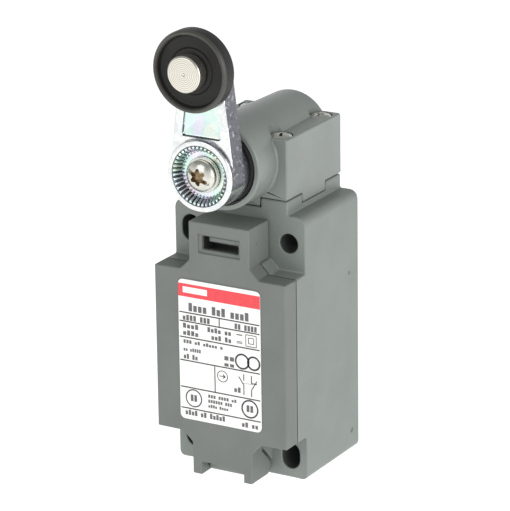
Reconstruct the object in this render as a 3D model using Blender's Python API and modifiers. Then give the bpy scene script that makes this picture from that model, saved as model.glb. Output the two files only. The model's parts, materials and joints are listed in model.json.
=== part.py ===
"""Roller-lever limit switch with a plastic body, 40 mm wide.

The switch is screwed to a machine by its rear face. A cam on the machine pushes the roller, the lever
turns its shaft, and a cam inside the head presses a tappet down onto the contact block in the body.

Frame: +X to the right, +Y to the rear, +Z up. The origin is on the rear face, in the middle of the four
fixing holes. The numbers below are millimetres: x from the middle plane, depth forward from the rear
face, and height up from the lower edge of the hinge block. place() turns them into metres in the frame.
"""
import math

import bmesh
import bpy
from mathutils import Matrix, Vector

MM = 0.001

# Fixing holes: two round, two slotted, for M5 screws
FIXING_HEIGHT = 35.2        # middle of the hole pattern
FIXING_SPAN_X = 30.0
FIXING_SPAN_Z = 60.0
FIXING_RADIUS = 2.65
FIXING_SLOT = 2.0           # extra length of the two slots

# Body
BODY_HALF = 20.0
EAR_DEPTH = 29.2            # front of the corners that hold the fixing holes
UNDERSIDE = -1.1            # bottom of the wide part
SHOULDER = 72.8             # top of the wide part
LOW_RADIUS = 1.6
HIGH_RADIUS = 2.3
BACK_WALL = 4.0
RIM_WALL = 3.0
RIM_DEPTH = 34.1            # seam between body and cover
NECK_HALF = 14.7            # square neck that carries the head
NECK_TOP = 74.0
POST_TOP = 76.6             # four corner posts key the head in 90 degree steps
POST_SIZE = 8.1
MIDDLE_DEPTH = EAR_DEPTH / 2
PASSAGE_RADIUS = 6.9        # from the head down to the contact block
CONDUIT_RADIUS = 9.3        # M20 cable entry
LATCH_HALF = 4.7
EJECTOR_MARKS = ((4.1, 4.9, 0.75), (5.2, 50.8, 0.5))    # depth, height and radius, on the right side

# Cover outline: a wide part with a narrow neck above and below, joined by 45 degree corners
COVER_DEPTH = 40.2
COVER_LOW = 11.3
COVER_HIGH = 57.5
COVER_STEP = 12.0
COVER_NECK = 9.2
COVER_BEVEL = COVER_STEP - COVER_NECK
DRAFT = 0.05                # slope of the shoulders over their length
COVER_WALL = 1.6
COVER_PLATE = 2.2
COVER_TOP = 71.1
SEAM_GAP = 0.3
LEG_INSIDE = 6.6
LEG_LOW = -0.5
PLATE_LOW = 3.2             # lower edge of the cover's front between its two legs

# Cover hinge
HINGE_DEPTH = 35.2
HINGE_HEIGHT = 1.9
TRUNNION_RADIUS = 0.9
SOCKET_RADIUS = 1.2
BLOCK_HALF = 6.35
BLOCK_DEPTH = 36.4

# Head and shaft
HEAD_LOW = NECK_TOP + 0.25
HEAD_TOP = 93.5
AXIS_HEIGHT = 87.0
BARREL_REAR_RADIUS = 11.2
BARREL_FRONT_RADIUS = 12.0
BARREL_DEPTH = 39.1
SEAL_SEAT = 37.4
CHAMBER_RADIUS = 7.7
SHAFT_RADIUS = 4.0
TAIL_RADIUS = 3.0           # rear end of the shaft, which carries the cam
TAIL_FRONT = 21.9
BUSH_RADIUS = 6.3
SCREW_X = 10.8
SCREW_DEPTH = 10.7          # head screws in front of and behind the middle
CAM_RADIUS = 7.2
CAM_FLAT = 4.1              # axis to the flat under the cam
STROKE = CAM_RADIUS - CAM_FLAT

# Lever and roller
HUB_RADIUS = 9.73
HUB_REAR = 39.9
HUB_FRONT = 49.3
ARM_REAR = 42.0
ARM_FRONT = 48.0
LEVER_LENGTH = 28.9
ROLLER_HEIGHT = AXIS_HEIGHT + LEVER_LENGTH
ROLLER_RADIUS = 11.0
ROLLER_REAR = 48.6
ROLLER_FRONT = 53.7
PIN_FRONT = 56.3
PIN_HEAD_RADIUS = 4.87
PIN_RADIUS = 2.3

# Tappet and contact block
TAPPET_TOP = AXIS_HEIGHT - CAM_RADIUS - 0.3
TAPPET_LOW = 57.9
CARRIER_TOP = TAPPET_LOW - 0.3
CARRIER_LOW = 27.5
BASE_LOW = 18.5
BASE_TOP = 53.9
BASE_HALF = 15.6
BASE_REAR = 4.3
BASE_FRONT = 23.4
CONTACT_DEPTH = 14.5
CONTACT_X = 8.2
TERMINAL_X = 11.5
STRIP = 0.8                 # thickness of the brass strips


# ---------------------------------------------------------------- scene

def clear_scene():
    for obj in list(bpy.data.objects):
        bpy.data.objects.remove(obj, do_unlink=True)


def make_collection(name):
    collection = bpy.data.collections.new(name)
    bpy.context.scene.collection.children.link(collection)
    return collection


clear_scene()
PARTS = make_collection("limit_switch")
CUTTERS = make_collection("limit_switch_cutters")


def plastic_or_metal(name, colour, roughness, metallic=0.0):
    material = bpy.data.materials.new(name)
    material.use_nodes = True
    shader = material.node_tree.nodes["Principled BSDF"]
    shader.inputs["Base Color"].default_value = (*colour, 1.0)
    shader.inputs["Roughness"].default_value = roughness
    shader.inputs["Metallic"].default_value = metallic
    return material


GREY = plastic_or_metal("grey_plastic", (0.21, 0.23, 0.22), 0.5)
BLACK = plastic_or_metal("black_plastic", (0.03, 0.03, 0.03), 0.5)
CREAM = plastic_or_metal("cream_plastic", (0.62, 0.57, 0.43), 0.5)
RUBBER = plastic_or_metal("rubber", (0.02, 0.02, 0.02), 0.8)
PAPER = plastic_or_metal("label", (0.9, 0.9, 0.88), 0.4)
ZINC = plastic_or_metal("zinc", (0.72, 0.74, 0.72), 0.3, 1.0)
STEEL = plastic_or_metal("steel", (0.6, 0.58, 0.55), 0.3, 1.0)
BRASS = plastic_or_metal("brass", (0.75, 0.55, 0.22), 0.35, 1.0)


# ---------------------------------------------------------------- shapes

def place(x, depth, height):
    return Vector((x, -depth, height - FIXING_HEIGHT)) * MM


def mean(limits):
    return (limits[0] + limits[1]) / 2


def new_object(name, mesh, material=None):
    obj = bpy.data.objects.new(name, mesh)
    PARTS.objects.link(obj)
    if material:
        mesh.materials.append(material)
    return obj


def mesh_from(name, bm):
    mesh = bpy.data.meshes.new(name)
    bm.to_mesh(mesh)
    bm.free()
    return mesh


def block(name, x, depth, height, material=None):
    """A box between pairs of limits."""
    bm = bmesh.new()
    bmesh.ops.create_cube(bm, size=1.0)
    size = Vector((x[1] - x[0], depth[1] - depth[0], height[1] - height[0])) * MM
    bmesh.ops.scale(bm, vec=size, verts=bm.verts)
    obj = new_object(name, mesh_from(name, bm), material)
    obj.location = place(mean(x), mean(depth), mean(height))
    return obj


def shade_round(obj, angle=math.radians(35)):
    obj.data.shade_smooth()
    obj.data.set_sharp_from_angle(angle=angle)


def rod(name, start, end, radius, material=None, end_radius=None, sides=24):
    """A cylinder, or a cone with end_radius, between two (x, depth, height) points."""
    a, b = place(*start), place(*end)
    bm = bmesh.new()
    bmesh.ops.create_cone(
        bm, cap_ends=True, segments=sides, radius1=radius * MM,
        radius2=(radius if end_radius is None else end_radius) * MM, depth=(b - a).length)
    obj = new_object(name, mesh_from(name, bm), material)
    obj.location = (a + b) / 2
    obj.rotation_mode = 'QUATERNION'
    obj.rotation_quaternion = (b - a).to_track_quat('Z', 'Y')
    shade_round(obj)
    return obj


def turned(name, profile, x, height, material, sides=24, upright_depth=None):
    """A turned piece from its (radius, position) profile, which runs down the outer side.

    The axis runs forward through (x, height), and position is a depth. With upright_depth the axis
    stands up through (x, upright_depth) instead, and position is a height.
    """
    points = [Vector((radius, 0, along)) * MM for radius, along in profile]
    closed = profile[0][0] > 0
    edges = [(i, i + 1) for i in range(len(points) - 1)]
    if closed:
        edges.append((len(points) - 1, 0))
    mesh = bpy.data.meshes.new(name)
    mesh.from_pydata(points, edges, [])
    obj = new_object(name, mesh, material)
    if upright_depth is None:
        obj.location = place(x, 0, height)
        obj.rotation_euler.x = math.radians(90)
    else:
        obj.location = place(x, upright_depth, 0)
    screw = obj.modifiers.new("turn", 'SCREW')
    screw.steps = screw.render_steps = sides
    screw.use_merge_vertices = True
    screw.merge_threshold = 0.00001
    screw.use_smooth_shade = True
    return obj


def extrude_outlines(name, outlines, thickness, matrix, material):
    """Closed 2D outlines, the inner ones as holes, filled and extruded to a welded mesh."""
    curve = bpy.data.curves.new(name, 'CURVE')
    curve.dimensions = '2D'
    curve.fill_mode = 'BOTH'
    curve.extrude = thickness * MM / 2
    for outline in outlines:
        spline = curve.splines.new('POLY')
        spline.points.add(len(outline) - 1)
        for point, (u, v) in zip(spline.points, outline):
            point.co = (u * MM, v * MM, 0, 1)
        spline.use_cyclic_u = True
    shape = bpy.data.objects.new(name + "_outline", curve)
    PARTS.objects.link(shape)
    shape.matrix_world = matrix
    bpy.context.view_layer.update()
    graph = bpy.context.evaluated_depsgraph_get()
    mesh = bpy.data.meshes.new_from_object(shape.evaluated_get(graph))
    bm = bmesh.new()
    bm.from_mesh(mesh)
    bmesh.ops.remove_doubles(bm, verts=bm.verts, dist=0.000001)
    if len(outlines) == 1:      # one face for each end, in place of its triangles
        ends = [face for face in bm.faces if face.calc_area() < 1e-12 or abs(face.normal.z) > 0.99]
        bmesh.ops.delete(bm, geom=ends, context='FACES')
        bmesh.ops.holes_fill(bm, edges=[edge for edge in bm.edges if edge.is_boundary], sides=0)
        bmesh.ops.recalc_face_normals(bm, faces=bm.faces)
    bm.to_mesh(mesh)
    bm.free()
    mesh.materials.clear()
    obj = new_object(name, mesh, material)
    obj.matrix_world = matrix
    bpy.data.objects.remove(shape, do_unlink=True)
    return obj


def prism(name, outlines, depth, material=None):
    """(x, height) outlines extruded between two depths."""
    matrix = Matrix.Translation(place(0, mean(depth), 0)) @ Matrix.Rotation(math.radians(90), 4, 'X')
    return extrude_outlines(name, outlines, depth[1] - depth[0], matrix, material)


def side_prism(name, outline, x, material=None):
    """A (depth, height) outline extruded between two x."""
    turn = Matrix(((0, 0, -1, 0), (-1, 0, 0, 0), (0, 1, 0, 0), (0, 0, 0, 1)))
    matrix = Matrix.Translation(place(mean(x), 0, 0)) @ turn
    return extrude_outlines(name, [outline], x[1] - x[0], matrix, material)


def circle(x, height, radius, sides=24):
    steps = [2 * math.pi * i / sides for i in range(sides)]
    return [(x + radius * math.cos(a), height + radius * math.sin(a)) for a in steps]


def arc(x, height, radius, start, end, steps):
    """Points on an arc, with angles in degrees."""
    angles = [math.radians(start + (end - start) * i / steps) for i in range(steps + 1)]
    return [(x + radius * math.cos(a), height + radius * math.sin(a)) for a in angles]


def rounded_box(x, height, radius, steps=4):
    """An outline with four round corners."""
    right, left = x[1] - radius, x[0] + radius
    top, low = height[1] - radius, height[0] + radius
    return (arc(right, top, radius, 0, 90, steps) + arc(left, top, radius, 90, 180, steps)
            + arc(left, low, radius, 180, 270, steps) + arc(right, low, radius, 270, 360, steps))


def slot(x, height, radius, extra, steps=8):
    """An upright slot, or a round hole when extra is 0."""
    if not extra:
        return circle(x, height, radius, 2 * steps)
    return (arc(x, height + extra / 2, radius, 0, 180, steps)
            + arc(x, height - extra / 2, radius, 180, 360, steps))


def mirrored(right):
    """A whole outline from its right half, listed from the bottom up."""
    return right + [(-x, height) for x, height in reversed(right)]


def cover_half(inset=0.0, side=BODY_HALF):
    """Right half of the seam between body and cover, moved inwards by inset."""
    shift = inset * (math.sqrt(2) - 1)
    step, neck = COVER_STEP - shift, COVER_NECK - shift
    low, high = COVER_LOW + inset, COVER_HIGH - inset
    return [(neck, low - COVER_BEVEL), (step, low), (side - inset, low + DRAFT),
            (side - inset, high - DRAFT), (step, high), (neck, high + COVER_BEVEL)]


def cover_outline(inset=0.0):
    return mirrored(cover_half(inset))


def combine(target, operation, *tools):
    """Add a Boolean for each tool, and put the tools away as cutters."""
    for tool in tools:
        modifier = target.modifiers.new(tool.name, 'BOOLEAN')
        modifier.operation = operation
        modifier.object = tool
        PARTS.objects.unlink(tool)
        CUTTERS.objects.link(tool)
        tool.hide_render = True
        tool.display_type = 'WIRE'


def cut(target, *tools):
    combine(target, 'DIFFERENCE', *tools)


def join(target, *tools):
    combine(target, 'UNION', *tools)


def coil(name, x, depth, height, radius, wire, turns, material):
    """An upright compression spring between two heights."""
    steps = 12
    low, high = height[0] + wire, height[1] - wire
    count = int(turns * steps)
    curve = bpy.data.curves.new(name, 'CURVE')
    curve.dimensions = '3D'
    curve.bevel_depth = wire * MM
    curve.bevel_resolution = 1
    curve.use_fill_caps = True
    spline = curve.splines.new('POLY')
    spline.points.add(count)
    for i, point in enumerate(spline.points):
        angle = 2 * math.pi * i / steps
        along = low + (high - low) * i / count
        corner = Vector((radius * math.cos(angle), radius * math.sin(angle), along)) * MM
        point.co = (*corner, 1)
    curve.materials.append(material)
    obj = bpy.data.objects.new(name, curve)
    PARTS.objects.link(obj)
    obj.location = place(x, depth, 0)
    return obj


def pivot(name, point, pieces):
    """An empty on a joint's axis that carries the pieces that move about it."""
    empty = bpy.data.objects.new(name, None)
    PARTS.objects.link(empty)
    empty.location = place(*point)
    empty.empty_display_size = 0.005
    bpy.context.view_layer.update()
    for piece in pieces:
        piece.parent = empty
        piece.matrix_parent_inverse = empty.matrix_world.inverted()
    return empty


# ---------------------------------------------------------------- body

def screw_places():
    """(name, x, depth) of the four head screws."""
    for row, depth in (("front", MIDDLE_DEPTH + SCREW_DEPTH), ("rear", MIDDLE_DEPTH - SCREW_DEPTH)):
        for side, x in (("left", -SCREW_X), ("right", SCREW_X)):
            yield f"{row}_{side}", x, depth


def body_housing():
    right = (arc(BODY_HALF - LOW_RADIUS, UNDERSIDE + LOW_RADIUS, LOW_RADIUS, 270, 360, 4)
             + arc(BODY_HALF - HIGH_RADIUS, SHOULDER - HIGH_RADIUS, HIGH_RADIUS, 0, 90, 4)
             + [(NECK_HALF, SHOULDER), (NECK_HALF, POST_TOP)])
    body = prism("body_housing", [mirrored(right)], (0, BLOCK_DEPTH), GREY)

    around = [(-30, -20), (30, -20), (30, 90), (-30, 90)]
    rim = [(BLOCK_HALF, 0), (BLOCK_HALF, COVER_LOW - COVER_BEVEL)] + cover_half(side=25)
    cut(body, prism("in_front_of_ears", [around, mirrored(rim)], (EAR_DEPTH, 45)))
    hinge_block = [(-BLOCK_HALF, -5), (BLOCK_HALF, -5), (BLOCK_HALF, 6.8), (-BLOCK_HALF, 6.8)]
    cut(body, prism("in_front_of_rim", [around, hinge_block], (RIM_DEPTH, 50)))
    middle = POST_SIZE - NECK_HALF
    cut(body, block("between_left_and_right_posts", (middle, -middle), (-5, 60), (NECK_TOP, 90)))
    cut(body, block("between_front_and_rear_posts", (-30, 30), (POST_SIZE, EAR_DEPTH - POST_SIZE), (NECK_TOP, 95)))

    slope = EAR_DEPTH - 3.4     # the web under the rim rises at 45 degrees
    deep, shallow = RIM_DEPTH - 0.1, EAR_DEPTH - 1.2
    web = side_prism("web", [(shallow, shallow - slope), (deep, deep - slope), (deep, 9.5), (shallow, 9.5)],
                     (0.1 - COVER_NECK, COVER_NECK - 0.1))
    trunnions = rod("trunnions", (-7.9, HINGE_DEPTH, HINGE_HEIGHT), (7.9, HINGE_DEPTH, HINGE_HEIGHT),
                    TRUNNION_RADIUS, sides=16)
    latch = block("latch_tongue", (-LATCH_HALF, LATCH_HALF), (27, 37.3), (65.1, 66.7))
    join(body, web, trunnions, latch)

    cut(body, prism("inside", [cover_outline(RIM_WALL)], (BACK_WALL, RIM_DEPTH + 1)))
    cut(body, rod("passage", (0, MIDDLE_DEPTH, 55), (0, MIDDLE_DEPTH, 80), PASSAGE_RADIUS))
    cut(body, rod("gasket_seat", (0, MIDDLE_DEPTH, 73), (0, MIDDLE_DEPTH, 81), 9.2))
    cut(body, rod("conduit_entry", (0, MIDDLE_DEPTH, -4), (0, MIDDLE_DEPTH, 16), CONDUIT_RADIUS, sides=32))
    for x_sign in (-1, 1):
        for z_sign in (-1, 1):
            extra = FIXING_SLOT if x_sign != z_sign else 0
            hole = slot(x_sign * FIXING_SPAN_X / 2, FIXING_HEIGHT + z_sign * FIXING_SPAN_Z / 2,
                        FIXING_RADIUS, extra)
            cut(body, prism("fixing_hole", [hole], (-1, EAR_DEPTH + 1)))
    for _, x, depth in screw_places():
        cut(body, rod("screw_hole", (x, depth, 69.3), (x, depth, 80), 1.8, sides=12))
    for x in (-12.5, 12.5):
        cut(body, rod("base_screw_hole", (x, 1.1, 36.7), (x, 6, 36.7), 1.5, sides=12))
    for depth, height, radius in EJECTOR_MARKS:
        cut(body, rod("ejector_mark", (BODY_HALF - 0.25, depth, height), (BODY_HALF + 1, depth, height),
                      radius, sides=12))
    return body


# ---------------------------------------------------------------- cover

def front_cover():
    seam = RIM_DEPTH + SEAM_GAP
    rear = EAR_DEPTH + SEAM_GAP
    top = COVER_HIGH + COVER_BEVEL + SEAM_GAP
    right = [(COVER_NECK, LEG_LOW)] + cover_half() + [(COVER_NECK, COVER_TOP)]
    cover = prism("front_cover", [mirrored(right)], (rear, COVER_DEPTH), GREY)

    slope = 27.1                # the legs are cut back at 45 degrees to swing past the web
    leg_rear = 30.1
    cut(cover, side_prism("behind_seam", [
        (25, top), (seam, top), (seam, seam - slope), (leg_rear, leg_rear - slope),
        (leg_rear, 0.7), (leg_rear + 1.6, -0.9), (leg_rear + 1.6, -4), (25, -4)], (-25, 25)))

    inner_face = COVER_DEPTH - COVER_PLATE
    cut(cover, prism("cover_inside", [cover_outline(COVER_WALL)], (33, inner_face)))
    cut(cover, block("latch_room", (-7.6, 7.6), (28, inner_face), (top + 1.3, COVER_TOP - 1.8)))
    cut(cover, block("hinge_room", (-LEG_INSIDE, LEG_INSIDE), (27, inner_face), (-3, 7.4)))
    cut(cover, block("leg_gap", (0.01 - LEG_INSIDE, LEG_INSIDE - 0.01), (28, COVER_DEPTH + 1), (-4, PLATE_LOW)))
    cut(cover, block("latch_window", (-5.6, 5.6), (31, COVER_DEPTH + 1), (63.5, 67.3)))
    cut(cover, block("window_bevel", (-6.4, 6.4), (COVER_DEPTH - 0.7, COVER_DEPTH + 2), (62.6, 67.9)))
    for side in (-1, 1):
        cut(cover, rod("trunnion_socket", (side * 6, HINGE_DEPTH, HINGE_HEIGHT),
                       (side * 8.2, HINGE_DEPTH, HINGE_HEIGHT), SOCKET_RADIUS, sides=16))
    cut(cover, rod("gate_mark", (COVER_NECK - 0.2, 36.2, 66.4), (COVER_NECK + 1, 36.2, 66.4), 0.4, sides=12))
    return cover


def cover_gasket():
    return prism("cover_gasket", [cover_outline(2.0), cover_outline(2.9)],
                 (RIM_DEPTH + SEAM_GAP, COVER_DEPTH - COVER_PLATE - 0.3), RUBBER)


def nameplate():
    outline = rounded_box((-12.55, 12.55), (15.1, 54.7), 1.4)
    return prism("nameplate", [outline], (COVER_DEPTH + 0.1, COVER_DEPTH + 0.3), PAPER)


# ---------------------------------------------------------------- head

def head_housing():
    head = block("head_housing", (-NECK_HALF, NECK_HALF), (-1, EAR_DEPTH), (HEAD_LOW, HEAD_TOP), GREY)
    join(head, rod("barrel", (0, -2, AXIS_HEIGHT), (0, BARREL_DEPTH, AXIS_HEIGHT), BARREL_REAR_RADIUS,
                   end_radius=BARREL_FRONT_RADIUS, sides=48))
    cut(head, block("behind_head", (-30, 30), (-9, 0), (60, 110)))
    notch = POST_SIZE + 0.3
    for front in (False, True):
        for right in (False, True):
            x = (NECK_HALF - notch, 20) if right else (-20, notch - NECK_HALF)
            depth = (EAR_DEPTH - notch, 35) if front else (-5, notch)
            cut(head, block("post_notch", x, depth, (70, POST_TOP + 0.25)))
    chamber = (arc(0, AXIS_HEIGHT, CHAMBER_RADIUS, 0, 180, 16)
               + [(-CHAMBER_RADIUS, 70), (CHAMBER_RADIUS, 70)])
    cut(head, prism("cam_chamber", [chamber], (8, 21.2)))
    cut(head, rod("flange_seat", (0, MIDDLE_DEPTH, 70), (0, MIDDLE_DEPTH, 75.8), 9.2))
    cut(head, rod("tail_bore", (0, 3, AXIS_HEIGHT), (0, 10, AXIS_HEIGHT), TAIL_RADIUS + 0.4))
    cut(head, rod("shaft_bore", (0, 20, AXIS_HEIGHT), (0, 30, AXIS_HEIGHT), SHAFT_RADIUS + 0.4))
    cut(head, rod("bush_bore", (0, 23.6, AXIS_HEIGHT), (0, 40, AXIS_HEIGHT), BUSH_RADIUS + 0.3))
    cut(head, rod("seal_seat", (0, SEAL_SEAT, AXIS_HEIGHT), (0, 41, AXIS_HEIGHT), 10.7, sides=48))
    for _, x, depth in screw_places():
        cut(head, rod("screw_hole", (x, depth, 70), (x, depth, 95), 1.8, sides=12))
        cut(head, rod("screw_seat", (x, depth, 91.6), (x, depth, 96), 3.3))
    return head


def head_gasket():
    profile = [(7.2, 74.15), (8.9, 74.15), (8.9, 73.3), (7.2, 73.3)]
    return turned("head_gasket", profile, 0, 0, RUBBER, upright_depth=MIDDLE_DEPTH)


def head_screw(place_name, x, depth):
    profile = [(0, 93.9), (1.6, 93.8), (3.0, 93.2), (3.0, 91.9), (1.5, 91.9), (1.5, 69.6), (0, 69.6)]
    return turned("head_screw_" + place_name, profile, x, 0, STEEL, 16, upright_depth=depth)


def shaft():
    profile = [(2.2, 36.5), (2.2, 42.6), (5.6, 42.6), (6.2, 40.4), (SHAFT_RADIUS, 40.4),
               (SHAFT_RADIUS, TAIL_FRONT), (TAIL_RADIUS, TAIL_FRONT), (TAIL_RADIUS, 3.4), (0, 3.4)]
    return turned("shaft", [(0, 36.5)] + profile, 0, AXIS_HEIGHT, STEEL)


def shaft_bush():
    profile = [(4.3, 37.0), (BUSH_RADIUS, 37.0), (BUSH_RADIUS, 24.0), (4.3, 24.0)]
    return turned("shaft_bush", profile, 0, AXIS_HEIGHT, BRASS)


def shaft_seal():
    profile = [(4.4, 38.2), (5.6, 38.8), (9.6, 38.8), (10.3, 38.2), (10.3, 37.7), (4.4, 37.7)]
    return turned("shaft_seal", profile, 0, AXIS_HEIGHT, RUBBER, 48)


def cam():
    """A disc with a flat below, which turns its edge down onto the tappet either way."""
    half_angle = math.degrees(math.acos(CAM_FLAT / CAM_RADIUS))
    outline = arc(0, AXIS_HEIGHT, CAM_RADIUS, half_angle - 90, 270 - half_angle, 28)
    bore = circle(0, AXIS_HEIGHT, TAIL_RADIUS + 0.3)
    return prism("cam", [outline, bore], (9.2, 20.0), ZINC)


def spring_cup():
    """Pressed steel retainer that closes the head and guides the tappet."""
    profile = [(5.8, 75.45), (8.8, 75.45), (8.8, 74.45), (6.4, 74.45),
               (6.4, 62.0), (2.6, 62.0), (2.6, 63.0), (5.8, 63.0)]
    return turned("spring_cup", profile, 0, 0, STEEL, upright_depth=MIDDLE_DEPTH)


def tappet():
    profile = [(0, TAPPET_TOP), (4.9, TAPPET_TOP), (5.3, TAPPET_TOP - 0.4), (5.3, TAPPET_TOP - 2.0),
               (2.2, TAPPET_TOP - 2.0), (2.2, TAPPET_LOW + 0.4), (1.8, TAPPET_LOW), (0, TAPPET_LOW)]
    return turned("tappet", profile, 0, 0, CREAM, upright_depth=MIDDLE_DEPTH)


def return_spring():
    return coil("return_spring", 0, MIDDLE_DEPTH, (63.3, TAPPET_TOP - 2.3), 4.2, 0.45, 5, STEEL)


# ---------------------------------------------------------------- lever and roller

def lever_arm():
    hub_profile = [(2.6, 46.6), (6.6, 46.6), (8.1, HUB_FRONT), (9.5, HUB_FRONT), (HUB_RADIUS, 49.0),
                   (HUB_RADIUS, 40.2), (9.5, HUB_REAR), (6.9, HUB_REAR), (6.9, 43.0), (2.6, 43.0)]
    hub = turned("lever_arm", hub_profile, 0, AXIS_HEIGHT, ZINC, 48)
    low_half, top_half = 9.7, 6.15
    lean = math.degrees(math.asin((low_half - top_half) / LEVER_LENGTH))
    outline = (arc(0, ROLLER_HEIGHT, top_half, lean, 180 - lean, 14)
               + arc(0, AXIS_HEIGHT, low_half, 180 - lean, 360 + lean, 30))
    arm = prism("arm", [outline, circle(0, AXIS_HEIGHT, 9.2, 48)], (ARM_REAR, ARM_FRONT))
    join(hub, arm)
    panel = [(-5.9, 97.0), (5.9, 97.0), (4.6, 107.5), (-4.6, 107.5)]
    cut(hub, prism("front_panel", [panel], (ARM_FRONT - 1, ARM_FRONT + 1)))
    cut(hub, prism("rear_panel", [panel], (ARM_REAR - 1, ARM_REAR + 1)))
    cut(hub, rod("pin_hole", (0, 40, ROLLER_HEIGHT), (0, 50, ROLLER_HEIGHT), PIN_RADIUS + 0.3))
    return hub


def lever_washer():
    profile = [(2.5, 47.8), (4.8, 47.8), (4.8, 46.9), (2.5, 46.9)]
    return turned("lever_washer", profile, 0, AXIS_HEIGHT, STEEL)


def lever_screw():
    profile = [(0, 50.4), (2.2, 50.2), (3.6, 49.6), (4.2, 48.8), (4.2, 48.1), (1.9, 48.1),
               (1.9, 37.5), (0, 37.5)]
    return turned("lever_screw", profile, 0, AXIS_HEIGHT, STEEL)


def roller():
    profile = [(PIN_RADIUS + 0.3, 52.4), (6.0, 52.4), (6.2, 51.7), (9.3, 51.7), (9.7, 53.5), (10.0, ROLLER_FRONT),
               (10.5, ROLLER_FRONT), (ROLLER_RADIUS, 53.2), (ROLLER_RADIUS, 49.1), (10.4, ROLLER_REAR),
               (PIN_RADIUS + 0.3, ROLLER_REAR)]
    return turned("roller", profile, 0, ROLLER_HEIGHT, BLACK, 48)


def roller_pin():
    profile = [(0, PIN_FRONT), (4.5, PIN_FRONT), (PIN_HEAD_RADIUS, 55.9), (PIN_HEAD_RADIUS, 52.8),
               (PIN_RADIUS, 52.8), (PIN_RADIUS, 41.9), (3.6, 41.9), (3.2, 41.1), (0, 41.1)]
    return turned("roller_pin", profile, 0, ROLLER_HEIGHT, STEEL, 32)


# ---------------------------------------------------------------- contact block

POCKET_LOW = 25.6           # the open part of the base, between its two terminal towers
POCKET_HIGH = 47.8
CLOSED_STRIP = (46.7, 53.9)     # underside and tab end of the closed (upper) contacts
OPEN_STRIP = (26.7, 18.7)       # top and tab end of the open (lower) contacts
TERMINAL_HEIGHTS = (22.2, 50.7)
CHANNEL = ((-3.3, 3.3), (10.6, 18.4))
CARRIER_X = (-3.0, 3.0)
CARRIER_DEPTH = (10.9, 18.1)
CLOSED_BRIDGE = (44.0, 44.8)
OPEN_BRIDGE = (32.0, 32.8)


def contact_base():
    base = block("contact_base", (-BASE_HALF, BASE_HALF), (BASE_REAR, BASE_FRONT), (BASE_LOW, BASE_TOP), BLACK)
    cut(base, block("pocket", (-20, 20), (8.6, 30), (POCKET_LOW, POCKET_HIGH)))
    cut(base, block("channel", *CHANNEL, (20, 60)))
    for x, height in terminal_places():
        cut(base, rod("terminal_hole", (x, 15, height), (x, 26, height), 1.8, sides=12))
    for x in (-12.5, 12.5):
        cut(base, rod("base_screw_hole", (x, 0, 36.7), (x, 12, 36.7), 1.5, sides=12))
    return base


def terminal_places():
    for height in TERMINAL_HEIGHTS:
        for x in (-TERMINAL_X, TERMINAL_X):
            yield x, height


def fixed_contact(name, side, height, tip):
    """A brass strip, bent up or down at the front for its terminal screw, with a tip inside."""
    strip, tab = height
    strip_far = strip + math.copysign(STRIP, tab - strip)
    outline = [(12.4, strip), (24.5, strip), (24.5, tab), (24.5 - STRIP, tab), (24.5 - STRIP, strip_far),
               (12.4, strip_far)]
    contact = side_prism(name, outline, sorted((side * 6.4, side * 14.6)), BRASS)
    join(contact, rod("tip", (side * CONTACT_X, CONTACT_DEPTH, tip[0]),
                      (side * CONTACT_X, CONTACT_DEPTH, tip[1]), 1.5, sides=12))
    middle = max(TERMINAL_HEIGHTS) if tab > strip else min(TERMINAL_HEIGHTS)
    cut(contact, rod("screw_way", (side * TERMINAL_X, 20, middle), (side * TERMINAL_X, 28, middle), 1.8, sides=12))
    return contact


def contact_bridge(name, bar, tip):
    bridge = block(name, (-9.7, 9.7), (12.5, 16.5), bar, BRASS)
    for side in (-1, 1):
        join(bridge, rod("tip", (side * CONTACT_X, CONTACT_DEPTH, tip[0]),
                         (side * CONTACT_X, CONTACT_DEPTH, tip[1]), 1.5, sides=12))
    return bridge


def contact_carrier():
    carrier = block("contact_carrier", CARRIER_X, CARRIER_DEPTH, (CARRIER_LOW, CARRIER_TOP), CREAM)
    for window in ((CLOSED_BRIDGE[0] - 3.4, CLOSED_BRIDGE[1] + 0.3), (OPEN_BRIDGE[0] - 0.3, OPEN_BRIDGE[1] + 5)):
        cut(carrier, block("window", (-5, 5), (12.1, 16.9), window))
    return carrier


def terminal(index, x, height):
    washer = block(f"clamp_washer_{index}", (x - 2.9, x + 2.9), (24.8, 25.6), (height - 2.9, height + 2.9), STEEL)
    cut(washer, rod("washer_hole", (x, 20, height), (x, 30, height), 1.8, sides=12))
    profile = [(0, 28.0), (2.3, 28.0), (2.8, 27.5), (2.8, 25.9), (1.5, 25.9), (1.5, 16.0), (0, 16.0)]
    screw = turned(f"terminal_screw_{index}", profile, x, height, STEEL, 16)
    return washer, screw


def base_screw(name, x):
    profile = [(0, 10.6), (1.9, 10.6), (2.4, 10.2), (2.4, 8.9), (1.2, 8.9), (1.2, 1.5), (0, 1.5)]
    return turned(name, profile, x, 36.7, STEEL, 12)


def contact_block():
    """The double-break contact block: returns the pieces that move with its carrier."""
    contact_base()
    for side, word in ((-1, "left"), (1, "right")):
        fixed_contact(f"closed_contact_{word}", side, CLOSED_STRIP, (45.6, 47.0))
        fixed_contact(f"open_contact_{word}", side, OPEN_STRIP, (26.4, 27.5))
        base_screw(f"base_screw_{word}", side * 12.5)
    for index, (x, height) in enumerate(terminal_places(), start=1):
        terminal(index, x, height)
    return [
        contact_carrier(),
        contact_bridge("closed_bridge", CLOSED_BRIDGE, (44.4, 45.3)),
        contact_bridge("open_bridge", OPEN_BRIDGE, (31.2, 32.4)),
        coil("closed_bridge_spring", 0, CONTACT_DEPTH, (40.9, 43.7), 1.2, 0.25, 2.5, STEEL),
        coil("open_bridge_spring", 0, CONTACT_DEPTH, (33.1, 37.5), 1.2, 0.25, 3, STEEL),
    ]


# ---------------------------------------------------------------- assembly

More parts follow.
